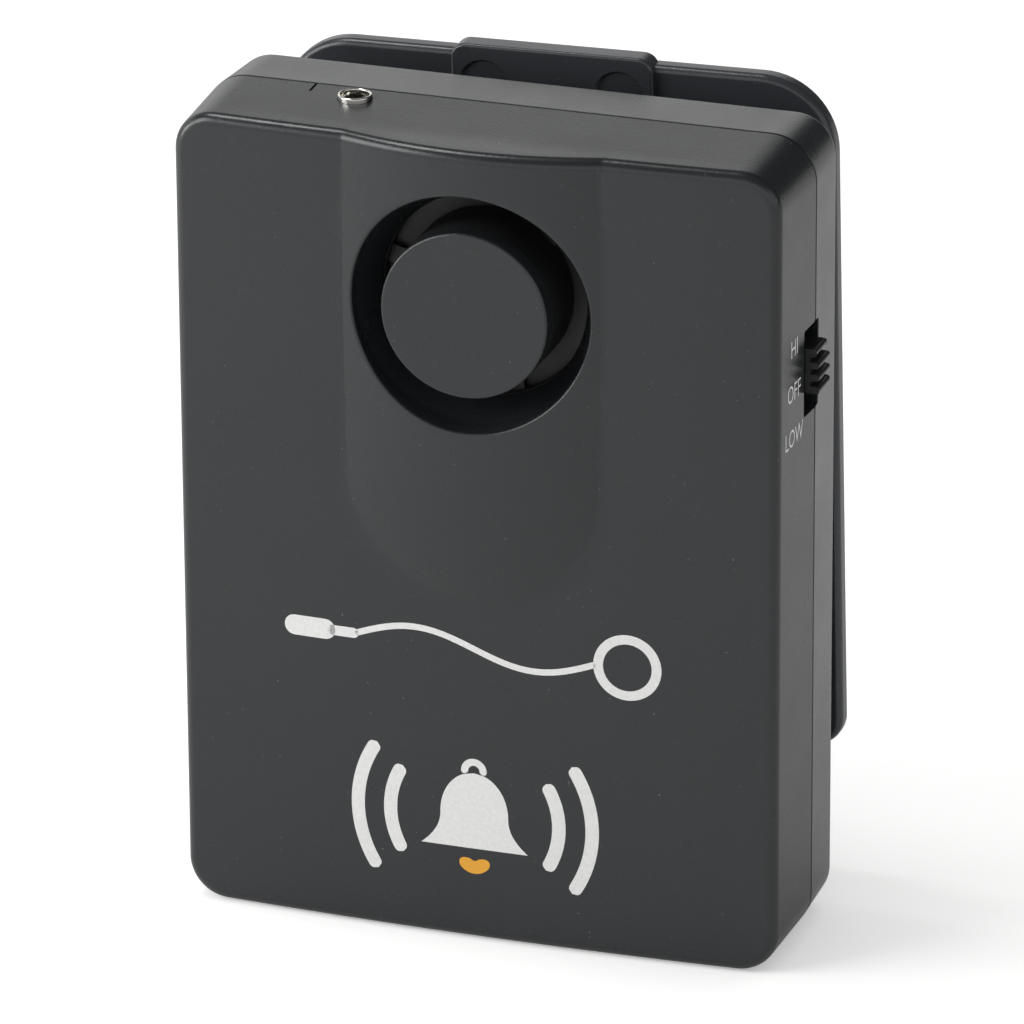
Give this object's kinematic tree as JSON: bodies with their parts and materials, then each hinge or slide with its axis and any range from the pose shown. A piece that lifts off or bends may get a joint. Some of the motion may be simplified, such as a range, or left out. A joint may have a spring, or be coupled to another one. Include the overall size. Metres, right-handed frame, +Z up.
{
  "type": "emergency pull cord alarm",
  "caption": "Hand-sized pull cord alarm in a dark plastic case with a round siren opening, a pin jack on top, a slide switch on the side and a sprung clip on the back.",
  "frame": {"origin": "on the flat underside of the case, below the middle of its width, near the seam of the two shells", "axes": "+Z up from the underside to the top with the pin jack; the front face looks along -Y; the slide switch is on +X and the clip on +Y"},
  "size_m": [0.0776, 0.0368, 0.1032],
  "materials": {
    "case_plastic": "fine satin moulded texture",
    "knob_plastic": "plain moulded black",
    "black_plastic": "plain moulded black",
    "battery_can": "glossy printed can",
    "red_vinyl": "smooth cable sheath",
    "black_vinyl": "smooth sheath",
    "brass": "rolled sheet",
    "phenolic_board": "pressed board",
    "ferrite": "sintered, dull",
    "resistor_coat": "dipped coat",
    "zinc_steel": "zinc plated",
    "nickel": "bright nickel plate",
    "spring_steel": "drawn wire"
  },
  "bodies": {
    "case": {"front_shell": "case_plastic", "rear_shell": "case_plastic", "sounder_cap": "case_plastic", "horn_plate": "black_plastic", "sounder_housing": "black_plastic", "battery": "battery_can", "battery_snap": "black_plastic", "battery_lead_red": "red_vinyl", "battery_lead_black": "black_vinyl", "sounder_lead_red": "red_vinyl", "sounder_lead_black": "black_vinyl", "piezo_disc": "brass", "circuit_board": "phenolic_board", "alarm_chip": "black_plastic", "boost_coil": "ferrite", "capacitor": "black_vinyl", "transistor": "black_plastic", "resistor_1": "resistor_coat", "resistor_2": "resistor_coat", "resistor_3": "resistor_coat", "resistor_4": "resistor_coat", "switch_body": "zinc_steel", "jack_body": "black_plastic", "jack_sleeve": "nickel", "jack_contact": "brass", "case_screw_1": "zinc_steel", "case_screw_2": "zinc_steel", "case_screw_3": "zinc_steel", "case_screw_4": "zinc_steel", "board_screw_1": "zinc_steel", "board_screw_2": "zinc_steel", "board_screw_3": "zinc_steel", "hinge_pin": "zinc_steel", "clip_spring": "spring_steel"},
    "switch_knob": {"switch_knob": "knob_plastic"},
    "battery_door": {"battery_door": "case_plastic"},
    "clip": {"clip_plate": "case_plastic"}
  },
  "joints": [
    {"name": "switch_slide", "type": "slide", "parent": "case", "child": "switch_knob", "axis": [0, 0, 1], "range_m": [-0.002, 0.002]},
    {"name": "door_slide", "type": "slide", "parent": "case", "child": "battery_door", "axis": [0, 0, -1], "range_m": [0, 0.031]},
    {"name": "clip_hinge", "type": "hinge", "parent": "case", "child": "clip", "pos_m": [0, 0.01539, 0.072], "axis": [1, 0, 0], "range_deg": [0, 11], "stiffness_Nm_per_rad": 0.4, "springref_deg": -28.65, "deforming": ["clip_spring"]}
  ]
}
